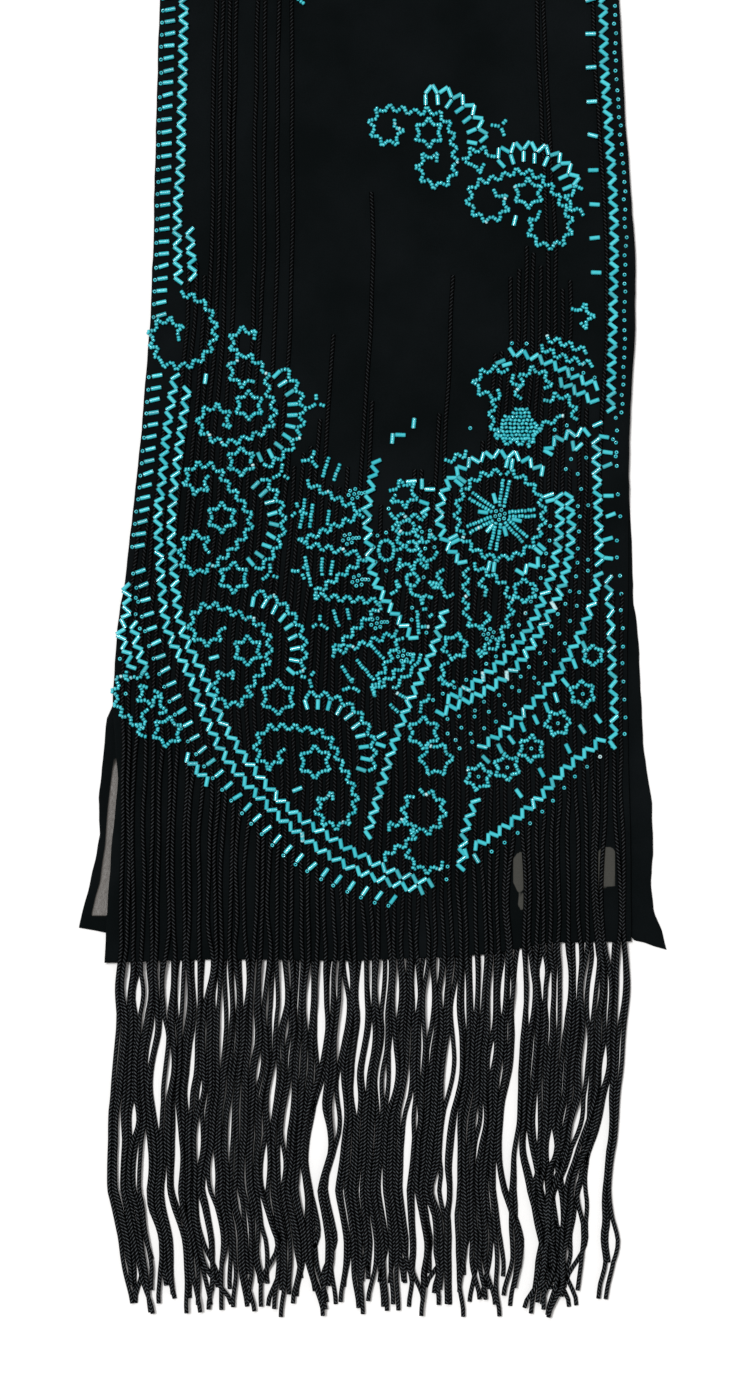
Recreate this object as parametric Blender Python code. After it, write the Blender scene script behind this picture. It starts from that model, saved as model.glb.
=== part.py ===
"""Evening stole of black silk chiffon, folded once across and laid flat.

The lower half rests on the table. The upper half lies on it and turns down at the fold.
A pointed line crosses the upper half near its end. Cords are sewn down on the face of the
cloth above that line, and below it they hang free as a fringe. The lower half has a fringe
of the same cords at its own end.

+X runs across the stole, +Y towards the fold, +Z up. All sizes are in millimetres until
they become mesh points.
"""

import math

import bmesh
import bpy

MM = 0.001
SEAM_GAP = 0.3

# Heights above the table
LOWER_LAYER = 1.1
LOWER_HEM = 1.6
LOWER_STACK = 2.4
EDGE_ROUND = 0.4
PANEL_THICKNESS = 1.2
HEM_RISE = 0.3
CORD_RISE = 0.9
PANEL_UNDERSIDE = LOWER_STACK + SEAM_GAP
PANEL_TOP = PANEL_UNDERSIDE + PANEL_THICKNESS

# Lengths along the stole
FOLD_Y = 475.2
TIP_Y = -475.2
FOLD_RADIUS = PANEL_TOP / 2
FOLD_START_Y = FOLD_Y - FOLD_RADIUS
LOWER_END_Y = FOLD_START_Y - SEAM_GAP

# Widths on the cloth
HEM_WIDTH = 5.6
HEM_SLOPE = 0.3
CORD_HALF_WIDTH = 1.15
FLAT_COLUMNS = 8

# Side edges of the upper half: y, left x, right x
PANEL_SIDES = (
    (475.2, -116.0, 134.0),
    (380.0, -117.5, 132.0),
    (300.0, -115.6, 134.0),
    (237.6, -114.8, 133.1),
    (169.0, -117.0, 137.0),
    (102.0, -118.4, 141.8),
    (60.0, -120.4, 142.0),
    (14.0, -124.0, 139.0),
    (-30.0, -128.3, 138.5),
    (-74.0, -133.5, 138.2),
    (-102.0, -137.8, 137.6),
    (-144.0, -140.5, 137.6),
    (-184.0, -137.4, 138.5),
    (-216.0, -140.4, 139.3),
    (-245.0, -142.6, 139.5),
    (-282.0, -144.8, 139.8),
)

# End hem of the upper half: x, y
PANEL_END = (
    (-145.0, -282.4),
    (-84.0, -280.3),
    (-12.0, -281.3),
    (41.0, -279.0),
    (66.0, -277.4),
    (81.0, -274.3),
    (94.0, -271.4),
    (140.0, -270.8),
)

# Pointed line where the cords leave the cloth: x, y
POINTED_LINE = (
    (-141.0, -146.0),
    (-104.0, -166.3),
    (-66.0, -197.0),
    (-15.0, -240.3),
    (7.0, -252.7),
    (18.0, -255.0),
    (36.5, -246.8),
    (58.0, -225.7),
    (80.0, -209.5),
    (140.0, -164.0),
)

# Outline of the lowest layer, from the fold along the left side: y, x
LOWER_LEFT = (
    (LOWER_END_Y, -113.0),
    (380.0, -114.5),
    (237.6, -111.8),
    (102.0, -115.4),
    (14.0, -121.0),
    (-74.0, -130.5),
    (-136.0, -137.0),
    (-150.0, -143.5),
    (-194.0, -148.1),
    (-213.0, -147.3),
    (-236.0, -152.0),
    (-263.5, -159.0),
)
# along its end: x, y
LOWER_BOTTOM = (
    (-159.0, -263.5),
    (-149.3, -265.2),
    (-143.5, -266.4),
    (-139.0, -265.4),
    (0.0, -265.4),
    (137.5, -265.4),
    (141.5, -270.4),
    (147.2, -271.6),
    (151.8, -273.4),
    (159.0, -275.5),
)
# and back along the right side: y, x
LOWER_RIGHT = (
    (-275.5, 159.0),
    (-264.0, 156.0),
    (-254.9, 152.4),
    (-239.0, 150.2),
    (-224.0, 151.8),
    (-196.0, 151.0),
    (-165.0, 146.3),
    (-105.0, 143.6),
    (-88.0, 141.2),
    (-40.0, 139.6),
    (14.0, 136.0),
    (102.0, 138.8),
    (237.6, 130.1),
    (380.0, 129.0),
    (LOWER_END_Y, 131.0),
)
HIDDEN_INSET = 10.0
HIDDEN_END_Y = -250.0
HIDDEN_FOLD_Y = 462.0

# Cords on the face: how many neighbours, and the y where they start
OVER_FOLD = FOLD_Y
CORD_RUNS = (
    (2, -43.0),
    (1, 19.0),
    (1, -43.0),
    (2, 100.0),
    (1, 81.0),
    (4, OVER_FOLD),
    (2, 50.0),
    (2, OVER_FOLD),
    (1, 19.0),
    (1, OVER_FOLD),
    (1, 19.0),
    (1, OVER_FOLD),
    (4, -8.0),
    (1, 19.0),
    (1, 50.0),
    (3, -22.0),
    (1, -43.0),
    (1, 130.0),
    (1, 19.0),
    (5, -43.0),
    (1, -8.0),
    (2, -22.0),
    (1, 19.0),
    (1, 81.0),
    (4, -22.0),
    (1, -8.0),
    (2, 50.0),
    (1, 81.0),
    (4, 100.0),
    (2, OVER_FOLD),
    (2, 81.0),
    (1, -8.0),
    (2, 19.0),
    (1, -22.0),
    (1, OVER_FOLD),
    (3, -86.0),
)
FIRST_CORD_SHARE = 0.030
LAST_CORD_SHARE = 0.987

# Straight rows of the upper half above the pointed line
CORD_ROWS = (
    -86.0,
    -43.0,
    -22.0,
    -8.0,
    19.0,
    50.0,
    81.0,
    100.0,
    130.0,
    237.6,
    340.0,
    455.0,
)
ROW_AT_HEADING = 4.5
ROW_WITH_CORDS = 7.0
ROWS_BELOW_HEADING = (0.36, 0.7)
FOLD_ANGLES = (90, 60, 30, 0, -30, -60, -90)

# Fringes
STRAND_WIDTH = 1.9
STRAND_HEIGHT = 1.5
UPPER_HEADING = 4.0
LOWER_HEADING = 3.0
LOWER_STRANDS = 62
LOWER_STRAND_Z = SEAM_GAP
UPPER_STRAND_Z = PANEL_TOP + HEM_RISE + SEAM_GAP
STRAND_ON_STRAND_Z = LOWER_STRAND_Z + STRAND_HEIGHT + SEAM_GAP
PAST_HEM = 3.0
DOWN_PAST_HEM = 18.0
SHORTEST_UPPER = 26.0
SHORTEST_LOWER = 34.0
LOWER_TIP_Y = -470.0

# Sides of the whole curtain of strands: y, left x, right x
CURTAIN_SIDES = (
    (-146.0, -136.2, 134.5),
    (-281.0, -136.6, 136.6),
    (-318.0, -137.6, 135.4),
    (-362.0, -141.0, 132.0),
    (-405.0, -142.0, 129.0),
    (-432.0, -136.5, 130.0),
    (-475.2, -132.0, 126.5),
)

# Partings between the strands: x, y where widest, height, opening
PARTINGS = (
    (-121.0, -420.0, 70.0, 6.0),
    (-92.0, -400.0, 75.0, 5.0),
    (-58.0, -330.0, 60.0, 4.5),
    (-24.0, -415.0, 75.0, 6.5),
    (8.0, -345.0, 55.0, 4.0),
    (42.0, -390.0, 90.0, 6.5),
    (76.0, -370.0, 110.0, 7.5),
    (112.0, -330.0, 60.0, 5.0),
)
PARTING_REACH = 9.0


def clear_scene():
    for thing in list(bpy.data.objects):
        bpy.data.objects.remove(thing, do_unlink=True)


def fabric(name, colour, roughness):
    material = bpy.data.materials.new(name)
    material.use_nodes = True
    shader = material.node_tree.nodes["Principled BSDF"]
    shader.inputs["Base Color"].default_value = (*colour, 1.0)
    shader.inputs["Roughness"].default_value = roughness
    shader.inputs["Metallic"].default_value = 0.0
    return material


def between(low, high, share):
    return low + (high - low) * share


def read(table, at, column=1):
    """The value in a column of a table whose first column rises or falls steadily."""
    rows = sorted(table)
    if at <= rows[0][0]:
        return rows[0][column]
    for before, after in zip(rows, rows[1:]):
        if at <= after[0]:
            share = (at - before[0]) / (after[0] - before[0])
            return between(before[column], after[column], share)
    return rows[-1][column]


def on_panel(share, row_y):
    """The place across the upper half at this share of its width, on a row that may slope."""
    x = y = 0.0
    for _ in range(4):
        left, right = read(PANEL_SIDES, y, 1), read(PANEL_SIDES, y, 2)
        x = between(left, right, share)
        y = row_y(x)
    return x, y


def cord_starts():
    return [start for count, start in CORD_RUNS for _ in range(count)]


def cord_share(index, count):
    return between(FIRST_CORD_SHARE, LAST_CORD_SHARE, index / (count - 1))


def hem_rise(share, hem, slope):
    """The side hems stand a little above the single cloth between them."""
    inside = min(share, 1.0 - share)
    return HEM_RISE if inside <= hem - slope + 1e-6 else 0.0


def top_columns(row_y, cords_from):
    """Points across the face of one row: hems, flat stretches and the ridges of its cords."""
    y = row_y(0.0)
    width = read(PANEL_SIDES, y, 2) - read(PANEL_SIDES, y, 1)
    hem, slope, foot = HEM_WIDTH / width, HEM_SLOPE / width, CORD_HALF_WIDTH / width
    starts = cord_starts()
    crests = []
    if cords_from is not None:
        crests = [
            cord_share(i, len(starts))
            for i, start in enumerate(starts)
            if start >= cords_from
        ]
    flats = [i / FLAT_COLUMNS for i in range(1, FLAT_COLUMNS)]
    flats += [hem - slope, hem, 1.0 - hem, 1.0 - hem + slope]
    columns = {0.0: 0.0, 1.0: 0.0}
    for share in flats:
        if all(abs(share - crest) > 1.6 * foot for crest in crests):
            columns[share] = 0.0
    for crest in crests:
        columns[crest - foot] = 0.0
        columns[crest] = CORD_RISE
        columns[crest + foot] = 0.0
    return [
        (share, columns[share] + hem_rise(share, hem, slope))
        for share in sorted(columns)
    ]


def zip_rows(mesh, near, far):
    """Fills the band between two rows with triangles. A row is a list of (share, point)."""
    i = j = 0
    while i < len(near) - 1 or j < len(far) - 1:
        if j == len(far) - 1 or (i < len(near) - 1 and near[i + 1][0] <= far[j + 1][0]):
            mesh.faces.new((near[i][1], near[i + 1][1], far[j][1]))
            i += 1
        else:
            mesh.faces.new((near[i][1], far[j + 1][1], far[j][1]))
            j += 1


def point(mesh, x, y, z):
    return mesh.verts.new((x * MM, y * MM, z * MM))


def finish(mesh, name, material, smooth_degrees=40.0):
    bmesh.ops.recalc_face_normals(mesh, faces=mesh.faces)
    data = bpy.data.meshes.new(name)
    mesh.to_mesh(data)
    mesh.free()
    data.shade_smooth()
    data.set_sharp_from_angle(angle=math.radians(smooth_degrees))
    data.materials.append(material)
    node = bpy.data.objects.new(name, data)
    bpy.context.scene.collection.objects.link(node)
    return node


def flat_row(mesh, row_y, cords_from, extra_rise=0.0):
    """One row of the upper half as its face and its underside."""
    top, under = [], []
    for share, rise in top_columns(row_y, cords_from):
        x, y = on_panel(share, row_y)
        top.append((share, point(mesh, x, y, PANEL_TOP + max(rise, extra_rise))))
    for i in range(FLAT_COLUMNS + 1):
        share = i / FLAT_COLUMNS
        x, y = on_panel(share, row_y)
        under.append((share, point(mesh, x, y, PANEL_UNDERSIDE)))
    return top, under


def fold_row(mesh, degrees):
    """One row of the upper half where it turns round the fold, down to the table."""
    turn = math.radians(degrees)
    rows = []
    for radius in (FOLD_RADIUS, FOLD_RADIUS - PANEL_THICKNESS):
        y = FOLD_START_Y + radius * math.cos(turn)
        z = FOLD_RADIUS + radius * math.sin(turn)
        row = []
        for i in range(FLAT_COLUMNS + 1):
            share = i / FLAT_COLUMNS
            left, right = read(PANEL_SIDES, y, 1), read(PANEL_SIDES, y, 2)
            row.append((share, point(mesh, between(left, right, share), y, z)))
        rows.append(row)
    return tuple(rows)


def make_upper_half(material):
    def end(x):
        return read(PANEL_END, x)

    def heading(x):
        return read(POINTED_LINE, x)

    mesh = bmesh.new()
    rows = [
        flat_row(mesh, end, None, HEM_RISE),
        flat_row(mesh, lambda x: end(x) + HEM_WIDTH - HEM_SLOPE, None, HEM_RISE),
        flat_row(mesh, lambda x: end(x) + HEM_WIDTH, None),
    ]
    for part in ROWS_BELOW_HEADING:
        rows.append(
            flat_row(
                mesh,
                lambda x, part=part: between(end(x) + HEM_WIDTH, heading(x), part),
                None,
            )
        )
    rows.append(flat_row(mesh, lambda x: heading(x) + ROW_AT_HEADING, None))
    rows.append(flat_row(mesh, lambda x: heading(x) + ROW_WITH_CORDS, TIP_Y))
    for row_y in CORD_ROWS:
        rows.append(flat_row(mesh, lambda x, row_y=row_y: row_y, row_y))
    rows += [fold_row(mesh, degrees) for degrees in FOLD_ANGLES]
    for (top_near, under_near), (top_far, under_far) in zip(rows, rows[1:]):
        zip_rows(mesh, top_near, top_far)
        zip_rows(mesh, under_near, under_far)
        for side in (0, -1):
            mesh.faces.new(
                (
                    top_near[side][1],
                    top_far[side][1],
                    under_far[side][1],
                    under_near[side][1],
                )
            )
    zip_rows(mesh, *rows[0])
    zip_rows(mesh, *rows[-1])
    return finish(mesh, "upper_half", material)


def inset(loop, distance):
    """A closed outline moved inwards, square to its edges. It runs anticlockwise."""
    moved = []
    for before, here, after in zip(loop[-1:] + loop[:-1], loop, loop[1:] + loop[:1]):
        dx, dy = after[0] - before[0], after[1] - before[1]
        length = math.hypot(dx, dy)
        moved.append(
            (here[0] - dy / length * distance, here[1] + dx / length * distance)
        )
    return moved


def make_lower_half(material):
    """All the hidden layers as one solid, stepped at the edge like the cloth it stands for."""
    left = [(x, y) for y, x in LOWER_LEFT]
    right = [(x, y) for y, x in LOWER_RIGHT]
    outline = left[:-1] + list(LOWER_BOTTOM) + right[1:]
    corner = [0, len(left) - 1, len(left) + len(LOWER_BOTTOM) - 2, len(outline) - 1]

    hidden_ys = [between(HIDDEN_FOLD_Y, HIDDEN_END_Y, i / 6) for i in range(7)]
    hidden = [(read(PANEL_SIDES, y, 1) + HIDDEN_INSET, y) for y in hidden_ys]
    hidden += [
        (read(PANEL_SIDES, y, 2) - HIDDEN_INSET, y) for y in reversed(hidden_ys)
    ]
    hidden_corner = [0, 6, 7, 13]

    mesh = bmesh.new()

    def ring(loop, corners, z):
        """The ring's four sides, each a row of (share along it, point)."""
        points = [point(mesh, x, y, z) for x, y in loop]
        sides = []
        for k, (first, last) in enumerate(zip(corners, corners[1:] + [len(loop)])):
            along = 0 if k % 2 else 1
            span = points[first : last + 1] + points[:1] * (last == len(loop))
            start, stop = span[0].co[along], span[-1].co[along]
            sides.append(
                [((v.co[along] - start) / (stop - start), v) for v in span]
            )
        return points, sides

    rings = [
        ring(inset(outline, EDGE_ROUND), corner, 0.0),
        ring(outline, corner, EDGE_ROUND),
        ring(outline, corner, LOWER_HEM - EDGE_ROUND),
        ring(inset(outline, EDGE_ROUND), corner, LOWER_HEM),
        ring(inset(outline, HEM_WIDTH - HEM_SLOPE), corner, LOWER_HEM),
        ring(inset(outline, HEM_WIDTH), corner, LOWER_LAYER),
        ring(hidden, hidden_corner, LOWER_LAYER),
        ring(hidden, hidden_corner, LOWER_STACK - EDGE_ROUND),
        ring(inset(hidden, EDGE_ROUND), hidden_corner, LOWER_STACK),
    ]
    for (_, near), (_, far) in zip(rings, rings[1:]):
        for near_side, far_side in zip(near, far):
            zip_rows(mesh, near_side, far_side)
    mesh.faces.new(rings[0][0])
    mesh.faces.new(rings[-1][0])
    return finish(mesh, "lower_half", material)


def parted(x, y):
    """How far the partings push a strand sideways at this place."""
    push = 0.0
    for centre, widest_y, height, opening in PARTINGS:
        across = (x - centre) / PARTING_REACH
        along = (y - widest_y) / height
        strength = max(0.0, 1.0 - along * along) ** 2
        push += opening / 2 * strength * across * math.exp(0.5 - across * across / 2)
    return push


def strand_x(share, y):
    left, right = read(CURTAIN_SIDES, y, 1), read(CURTAIN_SIDES, y, 2)
    x = between(left, right, share)
    return x + parted(x, y)


def shortened(index, least_y, shortest):
    """Cut ends are uneven. Only the longest strand reaches the lowest line."""
    wave = math.sin(index * 1.9) * math.sin(index * 0.53 + 0.4)
    return least_y + shortest * (0.5 + 0.5 * wave) ** 1.5


def add_strand(mesh, root, stations):
    """A strand as rings of four points below the root face of the heading."""
    ring = root
    half = STRAND_WIDTH / 2
    for x, y, z in stations:
        following = [
            point(mesh, x - half, y, z),
            point(mesh, x + half, y, z),
            point(mesh, x + half, y, z + STRAND_HEIGHT),
            point(mesh, x - half, y, z + STRAND_HEIGHT),
        ]
        for k in range(4):
            mesh.faces.new(
                (ring[k], ring[(k + 1) % 4], following[(k + 1) % 4], following[k])
            )
        ring = following
    mesh.faces.new(ring)


def make_fringe(name, material, roots, line_y, heading, z, stations_of):
    """A narrow heading that follows a line, with one strand hanging from each root."""
    half = STRAND_WIDTH / 2
    mesh = bmesh.new()
    sections = []
    for x in [x for root in roots for x in (root - half, root + half)]:
        low, high = line_y(x), line_y(x) + heading
        sections.append(
            [
                point(mesh, x, low, z),
                point(mesh, x, low, z + STRAND_HEIGHT),
                point(mesh, x, high, z + STRAND_HEIGHT),
                point(mesh, x, high, z),
            ]
        )
    for k, (here, after) in enumerate(zip(sections, sections[1:])):
        sides = [(1, 2), (2, 3), (3, 0)]
        if k % 2:
            sides.append((0, 1))
        for a, b in sides:
            mesh.faces.new((here[a], here[b], after[b], after[a]))
    mesh.faces.new(sections[0])
    mesh.faces.new(sections[-1])
    for index in range(len(roots)):
        here, after = sections[2 * index], sections[2 * index + 1]
        root = [here[0], after[0], after[1], here[1]]
        add_strand(mesh, root, stations_of(index))
    return finish(mesh, name, material, 60.0)


def make_upper_fringe(material):
    """Strands that leave the pointed line, cross the cloth and lie on the lower fringe."""
    count = len(cord_starts())
    shares = [i / (count - 1) for i in range(count)]

    def line_y(x):
        return read(POINTED_LINE, x)

    roots = []
    for share in shares:
        x = 0.0
        for _ in range(4):
            x = strand_x(share, line_y(x))
        roots.append(x)

    def stations_of(index):
        share, root_y = shares[index], line_y(roots[index])
        end_y = read(PANEL_END, roots[index])
        tip_y = shortened(index, TIP_Y, SHORTEST_UPPER)
        if index == count // 3:
            tip_y = TIP_Y
        down_y = end_y - DOWN_PAST_HEM
        stations = [
            (end_y - PAST_HEM, UPPER_STRAND_Z),
            (down_y, STRAND_ON_STRAND_Z),
        ]
        stations += [
            (between(down_y, tip_y, part), STRAND_ON_STRAND_Z)
            for part in (0.28, 0.52, 0.76, 1.0)
        ]
        return [(strand_x(share, y), y, z) for y, z in stations if y < root_y - 1.0]

    return make_fringe(
        "upper_fringe",
        material,
        roots,
        line_y,
        UPPER_HEADING,
        UPPER_STRAND_Z,
        stations_of,
    )


def make_lower_fringe(material):
    """Strands from the hidden end of the lower half, lying on the table."""
    shares = [(i + 0.5) / LOWER_STRANDS for i in range(LOWER_STRANDS)]
    line = LOWER_BOTTOM[4][1] - SEAM_GAP - LOWER_HEADING
    roots = [strand_x(share, line) for share in shares]

    def stations_of(index):
        tip_y = shortened(index + 29, LOWER_TIP_Y, SHORTEST_LOWER)
        ys = [between(line, tip_y, part) for part in (0.22, 0.42, 0.62, 0.81, 1.0)]
        return [(strand_x(shares[index], y), y, LOWER_STRAND_Z) for y in ys]

    return make_fringe(
        "lower_fringe",
        material,
        roots,
        lambda x: line,
        LOWER_HEADING,
        LOWER_STRAND_Z,
        stations_of,
    )


def main():
    clear_scene()
    bpy.context.scene.unit_settings.scale_length = 1.0
    chiffon = fabric("black chiffon", (0.006, 0.007, 0.008), 0.85)
    cord = fabric("black rayon cord", (0.012, 0.012, 0.013), 0.6)
    make_lower_half(chiffon)
    make_upper_half(chiffon)
    make_lower_fringe(cord)
    make_upper_fringe(cord)


main()
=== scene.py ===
import math
import random

import bpy
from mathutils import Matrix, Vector, noise


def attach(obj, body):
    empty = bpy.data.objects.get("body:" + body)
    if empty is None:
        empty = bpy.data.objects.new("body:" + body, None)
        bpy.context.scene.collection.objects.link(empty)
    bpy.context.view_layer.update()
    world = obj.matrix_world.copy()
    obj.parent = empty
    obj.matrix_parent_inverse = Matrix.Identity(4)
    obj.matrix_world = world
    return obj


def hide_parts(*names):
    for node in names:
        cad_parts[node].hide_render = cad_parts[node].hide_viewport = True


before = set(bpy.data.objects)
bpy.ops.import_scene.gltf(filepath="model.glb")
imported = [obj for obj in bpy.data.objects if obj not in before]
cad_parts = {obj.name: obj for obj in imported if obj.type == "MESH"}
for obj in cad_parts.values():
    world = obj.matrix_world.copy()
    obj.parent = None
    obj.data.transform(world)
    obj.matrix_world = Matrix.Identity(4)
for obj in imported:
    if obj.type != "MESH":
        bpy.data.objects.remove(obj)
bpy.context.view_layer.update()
mm = 0.001
scene = bpy.context.scene
print("frame loaded")

# Camera: straight above the table, +Y up in the picture
cameraSet = {
    "pictureHeight": 756.0,  # mm of table along the picture's long side
    "middle": (3.0, -140.4),
    "lens": 90.0,
    "sensor": 36.0,
    "faceHeight": 4.0,
    "farClip": 30.0,
}


def makeCamera(s):
    data = bpy.data.cameras.new("camera")
    data.lens = s["lens"]
    data.sensor_width = s["sensor"]
    data.clip_end = s["farClip"]
    camera = bpy.data.objects.new("camera", data)
    height = s["pictureHeight"] * s["lens"] / s["sensor"] + s["faceHeight"]
    camera.location = (s["middle"][0] * mm, s["middle"][1] * mm, height * mm)
    scene.collection.objects.link(camera)
    scene.camera = camera


makeCamera(cameraSet)
print("camera placed")


def linear(hexColour):
    # a screen colour as the linear values that a shader takes
    parts = [int(hexColour[i : i + 2], 16) / 255 for i in (0, 2, 4)]
    return (*[p / 12.92 if p <= 0.04045 else ((p + 0.055) / 1.055) ** 2.4 for p in parts], 1.0)


def plug(tree, value, socket):
    if isinstance(value, Wire):
        tree.links.new(value.socket, socket)
    else:
        socket.default_value = value


def reckoning(operation, swapped=False):
    def made(self, other):
        pair = (other, self) if swapped else (self, other)
        return self.maths(operation, *pair)

    return made


class Wire:
    # a node's output that can be used in sums
    def __init__(self, tree, socket):
        self.tree = tree
        self.socket = socket

    def maths(self, operation, *values):
        made = self.tree.nodes.new("ShaderNodeMath")
        made.operation = operation
        for place, value in enumerate(values or (self,)):
            plug(self.tree, value, made.inputs[place])
        return Wire(self.tree, made.outputs[0])

    __add__ = reckoning("ADD")
    __radd__ = reckoning("ADD", True)
    __sub__ = reckoning("SUBTRACT")
    __rsub__ = reckoning("SUBTRACT", True)
    __mul__ = reckoning("MULTIPLY")
    __rmul__ = reckoning("MULTIPLY", True)
    __truediv__ = reckoning("DIVIDE")
    __pow__ = reckoning("POWER")


class Nodes:
    # a node tree, and the word that most of its node types start with
    def __init__(self, tree, family):
        self.tree = tree
        self.family = family

    def node(self, kind, settings=None, sockets=None, output=0):
        made = self.tree.nodes.new(kind if "Node" in kind else self.family + kind)
        for name, value in (settings or {}).items():
            setattr(made, name, value)
        for name, value in (sockets or {}).items():
            plug(self.tree, value, made.inputs[name])
        return Wire(self.tree, made.outputs[output]) if made.outputs else None


class Finish(Nodes):
    # a material built from nodes
    def __init__(self, name):
        self.data = bpy.data.materials.new(name)
        self.data.use_nodes = True
        super().__init__(self.data.node_tree, "ShaderNode")
        self.tree.nodes.clear()

    def place(self):
        return self.node("TexCoord", output="Object")

    def attribute(self, name):
        return self.node("Attribute", {"attribute_name": name}, output="Fac")

    def grain(self, place, scale, detail=2.0, roughness=0.5):
        sockets = {"Vector": place, "Scale": scale, "Detail": detail, "Roughness": roughness}
        return self.node("TexNoise", None, sockets)

    def stretched(self, place, scale):
        return self.node("Mapping", None, {"Vector": place, "Scale": scale})

    def blend(self, factor, low, high):
        sockets = {0: factor, 6: low, 7: high}
        return self.node("Mix", {"data_type": "RGBA"}, sockets, 2)

    def range(self, value, low, high):
        sockets = {"Value": value, "From Min": low, "From Max": high}
        return self.node("MapRange", {"clamp": True}, sockets)

    def close(self, surface, height, depth, strength=1.0):
        sockets = {"Height": height, "Distance": depth, "Strength": strength}
        surface["Normal"] = self.node("Bump", None, sockets)
        shader = self.node("BsdfPrincipled", None, surface)
        self.node("OutputMaterial", None, {"Surface": shader})
        return self.data


# Sizes that part.py gives the cloth, in mm
panelTop = 3.9
panelUnderside = 2.7
hemRise = 0.3
hemWidth = 5.6
foldRadius = 1.95
foldStartY = 473.25
lowerEndY = 472.95
lowerLayer = 1.1
lowerHem = 1.6
lowerStack = 2.4
tipY = -475.2
lowerTipY = -470.0
lowerRootY = -265.8
leastInside = -5.0

# Side edges of the upper half: y, left x, right x
panelSides = (
    (475.2, -116, 134), (380, -117.5, 132), (300, -115.6, 134), (237.6, -114.8, 133.1),
    (169, -117, 137), (102, -118.4, 141.8), (60, -120.4, 142), (14, -124, 139),
    (-30, -128.3, 138.5), (-74, -133.5, 138.2), (-102, -137.8, 137.6), (-144, -140.5, 137.6),
    (-184, -137.4, 138.5), (-216, -140.4, 139.3), (-245, -142.6, 139.5), (-282, -144.8, 139.8),
)

# End hem of the upper half: x, y
panelEnd = (
    (-145, -282.4), (-84, -280.3), (-12, -281.3), (41, -279), (66, -277.4), (81, -274.3),
    (94, -271.4), (140, -270.8),
)

# Pointed line where the cords leave the cloth: x, y
pointedLine = (
    (-141, -146), (-104, -166.3), (-66, -197), (-15, -240.3), (7, -252.7), (18, -255),
    (36.5, -246.8), (58, -225.7), (80, -209.5), (140, -164),
)

# Left edge, end and right edge of the lower half
lowerLeft = (
    (lowerEndY, -113), (380, -114.5), (237.6, -111.8), (102, -115.4), (14, -121), (-74, -130.5),
    (-136, -137), (-150, -143.5), (-194, -148.1), (-213, -147.3), (-236, -152), (-263.5, -159),
)
lowerBottom = (
    (-159, -263.5), (-149.3, -265.2), (-143.5, -266.4), (-139, -265.4), (0, -265.4),
    (137.5, -265.4), (141.5, -270.4), (147.2, -271.6), (151.8, -273.4), (159, -275.5),
)
lowerRight = (
    (-275.5, 159), (-264, 156), (-254.9, 152.4), (-239, 150.2), (-224, 151.8), (-196, 151),
    (-165, 146.3), (-105, 143.6), (-88, 141.2), (-40, 139.6), (14, 136), (102, 138.8),
    (237.6, 130.1), (380, 129), (lowerEndY, 131),
)


def between(low, high, share):
    return low + (high - low) * share


def polar(centre, reach, angle):
    # the point at this distance and angle from the centre
    turn = math.radians(angle)
    return centre[0] + reach * math.cos(turn), centre[1] + reach * math.sin(turn)


def smooth(share):
    share = min(1.0, max(0.0, share))
    return share * share * (3.0 - 2.0 * share)


def readTable(table, at, column=1):
    rows = sorted(table)
    if at <= rows[0][0]:
        return rows[0][column]
    for before, after in zip(rows, rows[1:]):
        if at <= after[0]:
            share = (at - before[0]) / (after[0] - before[0])
            return between(before[column], after[column], share)
    return rows[-1][column]


def panelEdges(y):
    return readTable(panelSides, y, 1), readTable(panelSides, y, 2)


def ripple(x, y, size, seed):
    # smooth noise between -1 and 1, with waves about this many mm long
    return noise.noise(Vector((x / size, y / size, seed * 7.3)))


def makeObject(name, vertices, faces, material):
    data = bpy.data.meshes.new(name)
    data.from_pydata([(x * mm, y * mm, z * mm) for x, y, z in vertices], [], faces)
    data.materials.append(material)
    data.shade_smooth()
    made = bpy.data.objects.new(name, data)
    scene.collection.objects.link(made)
    return made


def closedSheet(name, top, under, material, mark, depths):
    # two grids of points, face and underside, joined all round. Each point keeps
    # a mark: how deep it lies inside a thin patch of the cloth
    rows, columns = len(top), len(top[0])
    vertices = [p for row in top for p in row] + [p for row in under for p in row]
    start = rows * columns
    faces = []
    for i in range(rows - 1):
        for j in range(columns - 1):
            a = i * columns + j
            b, c, d = a + 1, a + columns + 1, a + columns
            faces.append((a, b, c, d))
            faces.append((start + a, start + d, start + c, start + b))
    rim = list(range(columns))
    rim += [i * columns + columns - 1 for i in range(1, rows)]
    rim += [(rows - 1) * columns + j for j in range(columns - 2, -1, -1)]
    rim += [i * columns for i in range(rows - 2, 0, -1)]
    for a, b in zip(rim, rim[1:] + rim[:1]):
        faces.append((a, start + a, start + b, b))
    made = makeObject(name, vertices, faces, material)
    layer = made.data.attributes.new(mark, "FLOAT", "POINT")
    layer.data.foreach_set("value", depths * 2)
    return made


# Chiffon of both halves
chiffonSet = {
    "dark": linear("05090a"),
    "light": linear("0d1113"),
    "grainScale": 1500.0,
    "cloudScale": 14.0,
    "grainDepth": 0.00025,
    "patch": linear("474743"),
    "sheer": linear("706c68"),
    "sheerAlpha": 0.38,
}


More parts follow.
